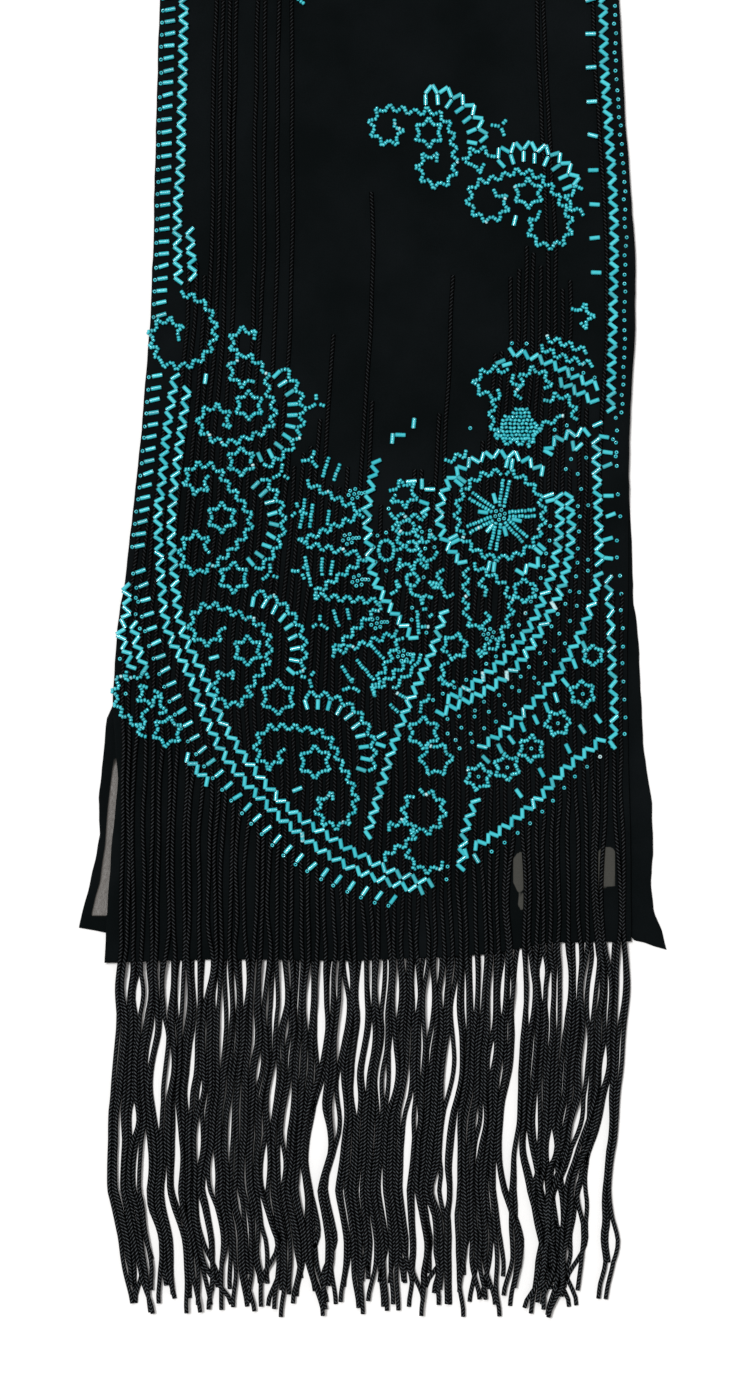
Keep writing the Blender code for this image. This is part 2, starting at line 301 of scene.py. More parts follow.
def makeChiffon(name, s, patched, sheer):
    f = Finish(name)
    place = f.place()
    crepe = f.grain(place, s["grainScale"], 3.0, 0.65)
    threads = f.grain(f.stretched(place, (1.0, 0.25, 1.0)), s["grainScale"], 1.0)
    worn = f.grain(place, s["cloudScale"], 4.0, 0.6)
    tone = f.range(worn * 0.7 + crepe * 0.3, 0.42, 0.66)
    colour = f.blend(tone, s["dark"], s["light"])
    surface = {"Roughness": 0.85, "Specular IOR Level": 0.04, "Sheen Weight": 0.01}
    if patched:
        patch = f.range(f.attribute("patch"), -0.15, 0.25)
        colour = f.blend(patch * (0.6 + 0.7 * crepe), colour, s["patch"])
    if sheer:
        thin = f.range(f.attribute("sheer"), -0.3, 0.4)
        crinkle = f.range(threads * 0.6 + crepe * 0.4, 0.38, 0.62)
        colour = f.blend(thin, colour, s["sheer"])
        surface["Alpha"] = 1.0 - thin * (1.0 - s["sheerAlpha"] - 0.22 * crinkle)
    surface["Base Color"] = colour
    height = crepe * 0.6 + threads * 0.4
    return f.close(surface, height, s["grainDepth"], 0.8)


# Upper half
upperSet = {
    "columns": 44,
    "rows": 120,
    "edgeRipple": 0.45,
    "creaseHeight": 0.25,
    "foldSteps": 8,
    "thickness": 1.2,
    "width": 250.0,
    "fineShares": (0.75, 0.98),
    "rippleReach": 12.0,
    "edgeNoise": (50.0, 9.0, 1),
    "rounds": 4,
}

# Thin patches in the cloth near the end: x from, x to, y from, y to
patches = (
    (76, 84, -242, -222.5), (78.6, 84, -254.8, -244.2), (121.8, 131, -241, -219.8),
    (118.6, 123.6, -253.8, -241.4),
)


def acrossShares(width, columns):
    # shares of the width, with extra ones at both hems
    hem = hemWidth / width
    inner = [between(hem, 1.0 - hem, i / columns) for i in range(columns + 1)]
    edge = [0.0, 0.12 * hem, 0.5 * hem, 0.93 * hem]
    return edge + inner + [1.0 - e for e in reversed(edge)]


def settled(edges, share, rowY, rounds):
    # where a row that isn't straight has this share of the width, and its side edges
    x = y = 0.0
    for _ in range(rounds):
        left, right = edges(y)
        x = between(left, right, share)
        y = rowY(x)
    return x, y, left, right


def edgeShift(s, share, fromSide, y):
    # the ripple of the side edges, which fades inwards
    side = -1.0 if share < 0.5 else 1.0
    start, size, seed = s["edgeNoise"]
    fade = 1.0 - smooth(fromSide / s["rippleReach"])
    return side * s["edgeRipple"] * fade * ripple(side * start, y, size, seed)


def hemHeight(distance):
    # a rolled hem: rounded edge, then a small step down to the single cloth
    if distance < 0.6:
        return -0.25 * (1.0 - distance / 0.6) ** 2 + hemRise
    return hemRise * (1.0 - smooth((distance - hemWidth + 1.0) / 0.9))


def makeUpperHalf(s, material):
    width, columns = s["width"], s["columns"]
    shares = acrossShares(width, columns)
    fine = [between(*s["fineShares"], i / columns) for i in range(columns + 1)]
    shares = sorted(set(shares + fine))
    steps = [0.0, 0.7, 2.8, hemWidth - 0.5]
    spans = [i / s["rows"] for i in range(s["rows"] + 1)]
    top, under, patch = [], [], []

    def addRow(rowY):
        topRow, underRow = [], []
        for share in shares:
            x, y, _, _ = settled(panelEdges, share, rowY, s["rounds"])
            fromSide = min(share, 1.0 - share) * width
            x += edgeShift(s, share, fromSide, y)
            endGap = y - readTable(panelEnd, x)
            crease = s["creaseHeight"] * ripple(x * 2.2, y * 0.5, 26.0, 2)
            crease += 0.5 * s["creaseHeight"] * ripple(x, y, 11.0, 3)
            calm = smooth((foldStartY - y) / 8.0)
            z = panelTop + hemHeight(min(fromSide, endGap)) + crease * calm
            topRow.append((x, y, z))
            underRow.append((x, y, panelUnderside))
            inside = [min(x - a, b - x, y - c, d - y) for a, b, c, d in patches]
            patch.append(max(leastInside, *inside))
        top.append(topRow)
        under.append(underRow)

    for step in steps:
        addRow(lambda x, step=step: readTable(panelEnd, x) + step)
    for span in spans:
        addRow(lambda x, span=span: between(readTable(panelEnd, x) + hemWidth, foldStartY, span))
    for i in range(1, s["foldSteps"] + 1):
        turn = math.pi * (0.5 - i / s["foldSteps"])
        rows = []
        for radius in (foldRadius, foldRadius - s["thickness"]):
            y = foldStartY + radius * math.cos(turn)
            z = foldRadius + radius * math.sin(turn)
            rows.append([(between(*panelEdges(y), share), y, z) for share in shares])
        top.append(rows[0])
        under.append(rows[1])
        patch.extend([leastInside] * len(shares))
    return closedSheet("upperHalfCloth", top, under, material, "patch", patch)


# Lower half with the hidden layers
lowerSet = {
    "columns": 60,
    "rows": 130,
    "edgeRipple": 0.5,
    "creaseHeight": 0.35,
    "hiddenInset": 10.0,
    "ramp": 8.0,
    "clear": 0.05,
    "width": 290.0,
    "rowSpread": 1.35,
    "rippleReach": 10.0,
    "edgeNoise": (80.0, 10.0, 4),
    "rounds": 5,
    "fineColumns": 14,
    "fineShares": (0.02, 0.1),
    "hiddenEnd": -250.0,
}

# Inner side of the left hem beside the thin window: y, x
windowLeft = (
    (-165, -138.6), (-172, -139.6), (-184, -141.3), (-198, -142.9), (-208, -143.7), (-219, -144.4),
    (-229, -146), (-239, -147.2), (-246, -149.4), (-256, -151.7),
)

# The fold of cloth that closes it on the other side: y, x
windowRight = (
    (-165, -139), (-172, -138.4), (-184, -136.4), (-206, -136.4), (-210, -138.2), (-219, -139.8),
    (-229, -141.2), (-246, -142.2), (-256, -142.6),
)
windowTop = -170.0
windowEnd = -257.0


def lowerEdges(y):
    return readTable(lowerLeft, y), readTable(lowerRight, y)


def makeLowerHalf(s, material):
    shares = acrossShares(s["width"], s["columns"])
    fineColumns = s["fineColumns"]
    fine = [between(*s["fineShares"], i / fineColumns) for i in range(fineColumns + 1)]
    shares = sorted(set(shares + fine + [1.0 - f for f in fine]))
    steps = [0.0, 0.7, 2.8, hemWidth - 0.5, hemWidth]
    top, under, thin = [], [], []

    def hemLine(x):
        return readTable(lowerBottom, x) + hemWidth

    rowLines = [lambda x, step=step: readTable(lowerBottom, x) + step for step in steps]
    for i in range(1, s["rows"] + 1):
        span = (i / s["rows"]) ** s["rowSpread"]
        rowLines.append(lambda x, span=span: between(hemLine(x), lowerEndY, span))
    for rowY in rowLines:
        topRow, underRow = [], []
        for share in shares:
            x, y, left, right = settled(lowerEdges, share, rowY, s["rounds"])
            fromSide = min(x - left, right - x)
            x += edgeShift(s, share, fromSide, y)
            fromEnd = y - readTable(lowerBottom, x)
            lift = (lowerHem - lowerLayer) / hemRise * hemHeight(min(fromSide, fromEnd))
            crease = s["creaseHeight"] * ripple(x * 2.5, y * 0.35, 22.0, 5)
            faceLeft, faceRight = panelEdges(y)
            inside = min(x - faceLeft, faceRight - x) - s["hiddenInset"]
            hidden = smooth(min(inside, y - s["hiddenEnd"]) / s["ramp"] + 0.5)
            z = lowerLayer + (lift + crease) * (1.0 - hidden) + hidden * (lowerStack - lowerLayer)
            topRow.append((x, y, max(z, 0.5)))
            underRow.append((x, y, s["clear"]))
            across = min(x - readTable(windowLeft, y), readTable(windowRight, y) - x)
            thin.append(max(leastInside, min(across, windowTop - y, y - windowEnd)))
        top.append(topRow)
        under.append(underRow)
    return closedSheet("lowerHalfCloth", top, under, material, "sheer", thin)


upperCloth = makeUpperHalf(upperSet, makeChiffon("blackChiffon", chiffonSet, True, False))
lowerCloth = makeLowerHalf(lowerSet, makeChiffon("blackChiffonLower", chiffonSet, False, True))
print("cloth made")


# Geometry Nodes helpers
class Tree(Nodes):
    # a Geometry Nodes tree with named inputs
    def __init__(self, name, inputs):
        super().__init__(bpy.data.node_groups.new(name, "GeometryNodeTree"), "GeometryNode")
        face = self.tree.interface
        face.new_socket("Geometry", in_out="OUTPUT", socket_type="NodeSocketGeometry")
        face.new_socket("Geometry", in_out="INPUT", socket_type="NodeSocketGeometry")
        for label, kind in inputs:
            face.new_socket(label, in_out="INPUT", socket_type="NodeSocket" + kind)
        self.start = self.tree.nodes.new("NodeGroupInput")
        self.end = self.tree.nodes.new("NodeGroupOutput")

    def given(self, label):
        return Wire(self.tree, self.start.outputs[label])

    def axis(self, name):
        position = self.node("InputPosition")
        return self.node("ShaderNodeSeparateXYZ", None, {"Vector": position}, name)

    def keep(self, geometry, name, value):
        # the value stays on the points as an attribute
        sockets = {"Geometry": geometry, "Name": name, "Value": value}
        return self.node("StoreNamedAttribute", {"domain": "POINT"}, sockets)

    def ring(self, sides, radius):
        sockets = {"Resolution": sides, "Radius": radius}
        return self.node("CurvePrimitiveCircle", {"mode": "RADIUS"}, sockets)

    def finish(self, geometry):
        loose = self.node("RealizeInstances", None, {"Geometry": geometry})
        sockets = {"Geometry": loose, "Material": self.given("Material")}
        plug(self.tree, self.node("SetMaterial", None, sockets), self.end.inputs["Geometry"])
        return self


def grow(name, vertices, edges, attributes, tree, values):
    # runs a tree on points or lines and keeps the result as a plain mesh
    seedMesh = bpy.data.meshes.new(name + "Seed")
    seedMesh.from_pydata([(x * mm, y * mm, z * mm) for x, y, z in vertices], edges, [])
    for label, rows in attributes.items():
        vector = hasattr(rows[0], "__len__")
        layer = seedMesh.attributes.new(label, "FLOAT_VECTOR" if vector else "FLOAT", "POINT")
        flat = [v for row in rows for v in row] if vector else rows
        layer.data.foreach_set("vector" if vector else "value", flat)
    made = bpy.data.objects.new(name, seedMesh)
    scene.collection.objects.link(made)
    modifier = made.modifiers.new("grow", "NODES")
    modifier.node_group = tree.tree
    for item in tree.tree.interface.items_tree:
        if item.name in values:
            modifier[item.identifier] = values[item.name]
    view = bpy.context.evaluated_depsgraph_get()
    plain = bpy.data.meshes.new_from_object(made.evaluated_get(view))
    made.modifiers.remove(modifier)
    made.data = plain
    plain.name = name
    bpy.data.meshes.remove(seedMesh)
    return made


# Cords
cordSet = {
    "width": 2.35,
    "sides": 6,
    "ringStep": 4.0,
    "twistPitch": 2.0,
    "lean": 0.55,
    "dark": linear("020202"),
    # colour of the painted sheen highlight on the cord's twist strokes
    "face": linear("666c71"),
    "onClothShade": 0.32,
    "seed": 11,
    "faceSink": 0.5,
    "wander": 0.5,
    "slits": 52,
    "midSlits": 40,
    "slitReach": 134.0,
    "onStrands": 3.1,
    "crossingRise": 1.4,
    "shortest": 21.0,
    "lowerShortest": 28.0,
    "tipRoom": 1.5,
}
cordRadius = cordSet["width"] / 2

# Cords on the face: how many neighbours, and the y where they start
overFold = 475.2
cordRuns = (
    (2, -43), (1, 19), (1, -43), (2, 100), (1, 81), (4, overFold), (2, 50), (2, overFold), (1, 19),
    (1, overFold), (1, 19), (1, overFold), (4, -8), (1, 19), (1, 50), (3, -22), (1, -43), (1, 130),
    (1, 19), (5, -43), (1, -8), (2, -22), (1, 19), (1, 81), (4, -22), (1, -8), (2, 50), (1, 81),
    (4, 100), (2, overFold), (2, 81), (1, -8), (2, 19), (1, -22), (1, overFold), (3, -86),
)
firstCordShare = 0.016
lastCordShare = 0.987
cordStarts = [start for count, start in cordRuns for _ in range(count)]
upperCount = len(cordStarts)
# cords that begin on the face begin at slightly different heights
cordStarts = [s if s > 400 else s + 8 * math.sin(i * 2.4) for i, s in enumerate(cordStarts)]

# Sides of the whole fringe: y, left x, right x
curtainSides = (
    (-146, -136.2, 134.5), (-281, -136.6, 136.6), (-318, -137.6, 135.4), (-362, -141, 132),
    (-405, -142, 129), (-432, -136.5, 130), (-475.2, -132, 126.5),
)

# Openings between the strands: x, y of the middle, half height, width
openings = (
    (-115.8, -344, 35, 6.3), (-123.6, -393, 26, 4.8), (-137, -392, 38, 2.6), (-118, -431, 19, 6),
    (-81.2, -310, 36, 2.8), (-94.7, -352, 10, 2.2), (-85.5, -420, 34, 4.8), (-93.2, -378, 17, 2.2),
    (-110, -303, 21, 2.4), (-64.3, -308, 28, 2), (-55.8, -301, 21, 2.2), (-53.7, -354, 22, 3.6),
    (-48, -319, 14, 2.4), (-34.6, -302, 21, 2.4), (-27.6, -312, 29, 5.2), (-17, -310, 32, 5.2),
    (-28.3, -382, 24, 6.6), (-27.6, -438, 32, 5.4), (-20.6, -364, 18, 4), (-60.8, -438, 14, 4),
    (-7.2, -322, 40, 3.4), (4.8, -345, 30, 2.2), (19.6, -390, 44, 5), (30.2, -304, 26, 4.8),
    (41.5, -375, 62, 6), (45.4, -308, 28, 3.2), (6.2, -410, 26, 2.2), (76.1, -360, 92, 5.6),
    (57, -368, 12, 2.6), (117.8, -298, 23, 4.2), (113.5, -337, 23, 3.8), (123.4, -338, 12, 2.6),
    (102.2, -301, 23, 2.4), (110.7, -368, 15, 4.6), (105, -394, 13, 4.6), (94.5, -382, 12, 4.2),
    (92.3, -412, 18, 4.2), (84.6, -428, 15, 5.2), (129, -433, 12, 4.6), (92.3, -285, 10, 3.2),
    (31, -449, 10, 4.2), (122.7, -443, 13, 3.6), (36.6, -403, 15, 3.6), (66, -445, 16, 3),
    (77.4, -236, 40, 6.5), (127.5, -242, 44, 7),
)
openingReach = 7.5
slitRng = random.Random(3)
# narrow slits of each row: how many, then middle y, half height and width, from and to
for count, *spans in (
    (cordSet["slits"], (-300, -284), (12, 30), (2.0, 4.0)),
    (cordSet["midSlits"], (-425, -325), (12, 28), (2.2, 4.2)),
):
    for i in range(count):
        place = (i + slitRng.uniform(0.1, 0.9)) / count
        x = between(-cordSet["slitReach"], cordSet["slitReach"], place)
        openings += ((x, *(slitRng.uniform(*span) for span in spans)),)

# Strands that cross their neighbours: share of the width, y from, y to, sideways shift
crossings = (
    (0.955, -335, -440, -17), (0.935, -340, -430, -15), (0.915, -345, -440, -15),
    (0.89, -350, -425, -12), (0.80, -370, -440, 12), (0.82, -365, -445, 14), (0.775, -385, -440, 9),
    (0.13, -345, -405, 5), (0.105, -380, -440, 6), (0.40, -335, -365, -4), (0.435, -360, -400, -6),
    (0.285, -400, -440, 5), (0.60, -395, -440, 4), (0.655, -330, -380, -3),
)


def curtainX(share, y):
    # where this share of the fringe's width lies
    return between(readTable(curtainSides, y, 1), readTable(curtainSides, y, 2), share)


def pushesOn(share):
    # the openings near one strand, and how far each pushes it sideways
    pushes = []
    for centre, middleY, halfHeight, width in openings:
        away = curtainX(share, middleY) - centre
        if abs(away) < 4 * openingReach:
            amount = math.copysign(width / 2 * math.exp(-abs(away) / openingReach), away)
            pushes.append((middleY, halfHeight, amount))
    return pushes


def strandX(share, y, pushes):
    drift = 1.6 * ripple(share * 270.0, y * 0.3, 24.0, 8)
    x = curtainX(share, y) + drift * smooth((-285 - y) / 60)
    for middleY, halfHeight, amount in pushes:
        along = (y - middleY) / halfHeight
        if abs(along) < 1.0:
            x += amount * (1.0 - along * along) ** 1.5
    return x


def shortened(index, leastY, shortest):
    wave = math.sin(index * 1.9) * math.sin(index * 0.53 + 0.4)
    return leastY + shortest * (0.5 + 0.5 * wave) ** 1.5


def cordShare(index):
    return between(firstCordShare, lastCordShare, index / (upperCount - 1))


def faceX(index, y):
    # where this cord lies across the face, nearly straight
    return between(*panelEdges(y), cordShare(index)) + 1.3 * ripple(index * 31.0, y, 42.0, 6)


def stationYs(fromY, toY, step):
    count = max(2, round((fromY - toY) / step))
    return [between(fromY, toY, i / count) for i in range(count + 1)]


def strandHabits(index, count, rng):
    # what makes one strand differ from the next
    share = index / count
    habits = {"phase": rng.uniform(0.0, 6.28), "wave": rng.uniform(60.0, 120.0)}
    habits["aside"] = rng.uniform(-1.5, 1.5)
    habits["curl"] = rng.choice((-1, 1)) * rng.uniform(0.5, 4.5)
    if rng.random() < 0.14:
        habits["curl"] *= 2.6
    near = [c for c in crossings if abs(c[0] - share) < 0.5 / count]
    habits["crossing"] = near[0] if near else None
    return habits


def loosened(x, y, away, left, habits):
    # small waves, a crossing where there is one, and the curl of the cut end
    x += cordSet["wander"] * math.sin(habits["phase"] + y / habits["wave"] * 6.28) * away
    if habits["crossing"]:
        _, fromY, toY, shift = habits["crossing"]
        x += shift * smooth((fromY - y) / (fromY - toY))
    return x + habits["curl"] * smooth(1.0 - left / 26.0) ** 1.5


def upperCordRoute(index, s, rng):
    share = index / (upperCount - 1)
    pushes = pushesOn(share)
    rootY = readTable(pointedLine, faceX(index, -200.0))
    rootY = readTable(pointedLine, faceX(index, rootY))
    endY = readTable(panelEnd, faceX(index, -280.0))
    start = cordStarts[index]
    onFace = panelTop + cordRadius - s["faceSink"]
    route = []
    if start >= overFold:
        reach = foldRadius + cordRadius - s["faceSink"]
        for turn in range(-24, 81, 26):
            y = foldStartY + reach * math.cos(math.radians(turn))
            z = foldRadius + reach * math.sin(math.radians(turn))
            route.append((faceX(index, 470.0), y, z))
        start = foldStartY - 3.0
    for y in stationYs(start, rootY, s["ringStep"] * 1.6)[:-1]:
        route.append((faceX(index, y), y, onFace))
    # free: how far each point hangs loose of the cloth; the cord finish paints shade where it is
    # low
    free = [0.0] * len(route)
    # one strand ends where the CAD fringe does, the others a little higher
    low = tipY if index == upperCount // 3 else shortened(index, tipY, s["shortest"])
    low += s["tipRoom"]
    habits = strandHabits(index, upperCount, rng)
    overCloth = panelTop + hemRise + cordRadius + 0.1
    onStrands = s["onStrands"] + rng.uniform(-0.15, 0.15)
    onStrands += s["crossingRise"] if habits["crossing"] else 0.0
    for y in stationYs(rootY, low, s["ringStep"]):
        blend = smooth((rootY - y) / 45.0)
        lift = smooth((rootY - y) / 20.0) * smooth((y + 300.0) / 30.0)
        x = between(faceX(index, rootY), strandX(share, y, pushes), blend)
        x = loosened(x + habits["aside"] * lift, y, blend, y - low, habits)
        down = smooth((endY - 1.0 - y) / 18.0)
        height = between(onFace, overCloth, smooth((rootY - y) / 6.0))
        route.append((x, y, between(height, onStrands, down)))
        free.append(0.35 * smooth((rootY - y) / 8.0) + 0.65 * smooth((endY + 2.0 - y) / 6.0))
    return route, free


def lowerCordRoute(index, s, rng):
    share = (index + 0.5) / (upperCount - 1)
    pushes = pushesOn(share)
    low = shortened(index + 29, lowerTipY, s["lowerShortest"]) + s["tipRoom"]
    habits = strandHabits(index, upperCount, rng)
    route = []
    for y in stationYs(lowerRootY, low, s["ringStep"]):
        x = strandX(share, y, pushes)
        x = loosened(x, y, smooth((lowerRootY - y) / 50.0), y - low, habits)
        route.append((x, y, cordRadius + 0.05))
    return route, [1.0] * len(route)


def cordTree():
    t = Tree("twistedCord", (("Radius", "Float"), ("Sides", "Int"), ("Material", "Material")))
    line = t.node("MeshToCurve", None, {"Mesh": t.given("Geometry")})
    line = t.node("SetCurveNormal", {"mode": "Z_UP"}, {"Curve": line})
    line = t.keep(line, "along", t.node("SplineParameter", None, None, "Length"))
    ring = t.ring(t.given("Sides"), t.given("Radius"))
    ring = t.keep(ring, "side", t.axis("X") / t.given("Radius"))
    sockets = {"Curve": line, "Profile Curve": ring, "Fill Caps": True}
    return t.finish(t.node("CurveToMesh", None, sockets))


def makeCordFinish(s):
    f = Finish("blackRayonCord")
    along, side, lean = f.attribute("along"), f.attribute("side"), f.attribute("lean")
    turn = along / (s["twistPitch"] * mm) + lean * side * s["lean"]
    # twist strokes: the bump's ridges, and the mask of a painted sheen highlight along them
    stroke = (0.5 + 0.5 * (turn * (2 * math.pi)).maths("SINE")) ** 3.0
    # painted shade: the cord's sides darker than its top
    paintedSideShade = (1.0 - side * side) ** 1.4
    fibres = f.grain(f.place(), 900.0, 2.0)
    # painted shade on cords that lie on the cloth, where the free attribute is low
    open = f.attribute("free") * (1.0 - s["onClothShade"]) + s["onClothShade"]
    # painted sheen highlight on the stroke ridges, under the painted shade below
    shine = stroke**3.3 * paintedSideShade * (0.35 + 1.1 * fibres) * open
    colour = f.blend(shine, s["dark"], s["face"])
    surface = {"Base Color": colour, "Roughness": 0.65, "Specular IOR Level": 0.03}
    return f.close(surface, stroke, 0.00035, 0.8)


def makeCords(name, cords, firstLean, tree, s, material):
    vertices, edges, lean, free = [], [], [], []
    for place, (route, loose) in enumerate(cords):
        first = len(vertices)
        vertices += route
        free += loose
        edges += [(first + i, first + i + 1) for i in range(len(route) - 1)]
        lean += [firstLean if place % 2 else -firstLean] * len(route)
    values = {"Radius": cordRadius * mm, "Sides": s["sides"], "Material": material}
    return grow(name, vertices, edges, {"lean": lean, "free": free}, tree, values)


cordLooks = (cordTree(), cordSet, makeCordFinish(cordSet))
rng = random.Random(cordSet["seed"])
upperRoutes = [upperCordRoute(i, cordSet, rng) for i in range(upperCount)]
lowerRoutes = [lowerCordRoute(i, cordSet, rng) for i in range(upperCount - 1)]
half = upperCount // 2
leftCords = makeCords("upperCordsLeft", upperRoutes[:half], 1.0, *cordLooks)
rightCords = makeCords("upperCordsRight", upperRoutes[half:], 1.0, *cordLooks)
lowerCords = makeCords("lowerCords", lowerRoutes, -1.0, *cordLooks)
print("cords made")

# Beads
beadSet = {
    "bugleLength": 5.7,
    "bugleWidth": 2.35,
    "bugleHole": 0.9,
    "bugleSides": 8,
    "seedWidth": 2.3,
    "seedLength": 1.58,
    "seedHole": 0.75,
    "seedSides": 7,
    "pitch": 1.68,
    "bugleLeg": 6.6,
    "seedLeg": 5.5,
    "bugleZigzag": 8.2,
    "seedZigzag": 6.9,
    "coneSpacing": 2.15,
    "rosetteReach": 2.8,
    "jitter": 0.22,
    "tilt": 4.0,
    "seed": 5,
    "light": linear("48cfda"),
    "mid": linear("1fadbb"),
    "deep": linear("18838f"),
    # dark teal for the painted shade at the ends of lying beads
    "hole": linear("0b3a40"),
    "glint": linear("e4fbfb"),
}
beadRng = random.Random(beadSet["seed"])
work = {}

# What a bead rests on where a cord lies: its height over the cloth, and how near counts
cordBack = 1.0
cordReach = 1.7


def startWork(name):
    # beads made after this go into the piece of this name
    work["now"] = work[name] = {"bugle": [], "seed": []}


def clothHeight(x, y):
    # the face of the cloth, or the back of a cord that lies on it here
    edgeY = readTable(pointedLine, x)
    if y <= edgeY + 1.5:
        free = smooth((edgeY + 1.5 - y) / 3.0)
        return panelTop + cordBack + (hemRise + cordBack) * free
    left, right = panelEdges(y)
    near = ((x - left) / (right - left) - firstCordShare) / (lastCordShare - firstCordShare)
    index = min(upperCount - 1, max(0, round(near * (upperCount - 1))))
    over = abs(x - faceX(index, y)) < cordReach and y < cordStarts[index]
    return panelTop + cordBack if over else panelTop


def put(kind, x, y, angle, upright=False):
    s = beadSet
    x += beadRng.uniform(-1, 1) * s["jitter"]
    y += beadRng.uniform(-1, 1) * s["jitter"]
    angle = math.radians(angle + beadRng.uniform(-1, 1) * s["tilt"])
    dx, dy = math.cos(angle), math.sin(angle)
    reach = s["bugleLength"] / 2 - 0.3 if kind == "bugle" else 0.0
    low = clothHeight(x - dx * reach, y - dy * reach)
    high = clothHeight(x + dx * reach, y + dy * reach)
    middle = max(clothHeight(x, y), (low + high) / 2)
    lift = s["seedLength"] / 2 if upright else s[kind + "Width"] / 2
    z = middle + lift + 0.05
    slope = (high - low) / (2 * reach) if reach else 0.0
    aim = (0.15 * dx, 0.15 * dy, 1.0) if upright else (dx, dy, slope * 0.5)
    work["now"][kind].append(((x, y, z), aim, beadRng.random()))


def bugle(x, y, angle):
    put("bugle", x, y, angle)


def bugles(rows):
    for row in rows:
        bugle(*row)


def strewn(points, least, most):
    # bugles at angles between these two
    for x, y in points:
        bugle(x, y, beadRng.uniform(least, most))


def seed(x, y):
    put("seed", x, y, beadRng.uniform(0, 360), True)


def seeds(points):
    for point in points:
        seed(*point)


def angleOf(a, b):
    return math.degrees(math.atan2(b[1] - a[1], b[0] - a[0]))


def strung(a, b):
    # seeds on their side along a thread from one point to another
    length = math.dist(a, b)
    count = max(1, round(length / beadSet["pitch"]))
    for i in range(count):
        share = 0.5 + (i - (count - 1) / 2) * beadSet["pitch"] / max(length, 0.1)
        put("seed", between(a[0], b[0], share), between(a[1], b[1], share), angleOf(a, b))


def threads(route):
    for a, b in zip(route, route[1:]):
        strung(a, b)


def leg(kind, a, b):
    if kind == "bugle":
        bugle((a[0] + b[0]) / 2, (a[1] + b[1]) / 2, angleOf(a, b))
    else:
        strung(a, b)


def curved(points, steps=5):
    # a smooth line through the points
    paintedEndShade = [points[0]] + list(points) + [points[-1]]
    route = []
    for p0, p1, p2, p3 in zip(paintedEndShade, paintedEndShade[1:], paintedEndShade[2:], paintedEndShade[3:]):
        for i in range(steps):
            t = i / steps
            point = []
            for a, b, c, d in zip(p0, p1, p2, p3):
                bend = (2 * a - 5 * b + 4 * c - d) * t * t + (3 * b - a - 3 * c + d) * t**3
                point.append(0.5 * (2 * b + (c - a) * t + bend))
            route.append(tuple(point))
    return route + [tuple(points[-1])]


def routeLength(route):
    return sum(math.dist(a, b) for a, b in zip(route, route[1:]))


def alongRoute(route, distance):
    # the point at this distance along a broken line, with the direction there
    for a, b in zip(route, route[1:]):
        length = math.dist(a, b)
        if length > 1e-6 and distance <= length:
            dx, dy = (b[0] - a[0]) / length, (b[1] - a[1]) / length
            return a[0] + dx * distance, a[1] + dy * distance, dx, dy
        distance -= length
    return None


def walk(route, step):
    # points at equal steps along a broken line
    count = int(routeLength(route) / step) + 1
    stations = [alongRoute(route, i * step) for i in range(count)]
    return [station for station in stations if station]


def zigzag(route, period=None, lastPeriod=None, side=1, kind="bugle"):
    # legs of one bugle, or of a few seeds, that swing across the route
    legLength = beadSet[kind + "Leg"]
    period = period or beadSet[kind + "Zigzag"]
    lastPeriod = lastPeriod or period
    total = routeLength(route)
    corners, distance = [], 0.0
    while distance <= total:
        half = between(period, lastPeriod, distance / total) / 2
        here = alongRoute(route, distance)
        if here is None:
            break
        x, y, dx, dy = here
        away = side * math.sqrt(max(1.0, legLength**2 - half**2)) / 2
        corners.append((x - dy * away, y + dx * away))
        side = -side
        distance += half
    for a, b in zip(corners, corners[1:]):
        leg(kind, a, b)


def seedZigzag(route, side=1):
    zigzag(route, side=side, kind="seed")


def wavy(*points):
    # a wavy line of seeds along a smooth line
    seedZigzag(curved(points))


def around(centre, radius, fromAngle, toAngle, steps=14):
    angles = [between(fromAngle, toAngle, i / steps) for i in range(steps + 1)]
    return [polar(centre, radius, angle) for angle in angles]


def scroll(centre, radius, fromAngle, toAngle, inner=0.35, hookTurn=110.0, tall=1.0):
    # round the centre, then in towards it over the last stretch of the turn
    route = []
    steps = 26
    sweep = abs(toAngle - fromAngle)
    for i in range(steps + 1):
        share = i / steps
        closing = smooth((share * sweep - (sweep - hookTurn)) / hookTurn)
        reach = radius * between(1.0, inner, closing)
        x, y = polar((0.0, 0.0), reach, between(fromAngle, toAngle, share))
        route.append((centre[0] + x, centre[1] + tall * y))
    return route


def star(x, y, radius=8.1, turn=90.0, points=6):
    corners = []
    for i in range(2 * points):
        angle = turn + i * 180.0 / points + beadRng.uniform(-3, 3)
        corners.append(polar((x, y), radius * (0.62 if i % 2 else 1.0), angle))
    threads(corners + corners[:1])


def fan(centre, radius, fromAngle, toAngle, kind="seed", period=7.4):
    # bugles like rays, and a zigzag round their outer ends
    legLength = beadSet[kind + "Leg"]
    half = math.sqrt(legLength**2 - (period / 2) ** 2) / 2
    step = math.degrees(period / radius)
    count = round(abs(fromAngle - toAngle) / step)
    way = 1 if toAngle > fromAngle else -1
    for i in range(count + 1):
        angle = fromAngle + way * i * step
        low = radius - half + beadRng.uniform(-0.5, 0.5)
        bugle(*polar(centre, low - 3.2, angle), angle + beadRng.uniform(-12, 12))
        if i < count:
            outer = polar(centre, radius + half, angle + way * step / 2)
            leg(kind, polar(centre, low, angle), outer)
            leg(kind, outer, polar(centre, radius - half, angle + way * step))


def cloud(first, over, last, middle, rays):
    # a scroll, a wavy line over a star, and a second scroll, with rays outside
    seedZigzag(curved([*first[::3], *over, *last[::3]], 4))
    star(*middle)
    fan(*rays)


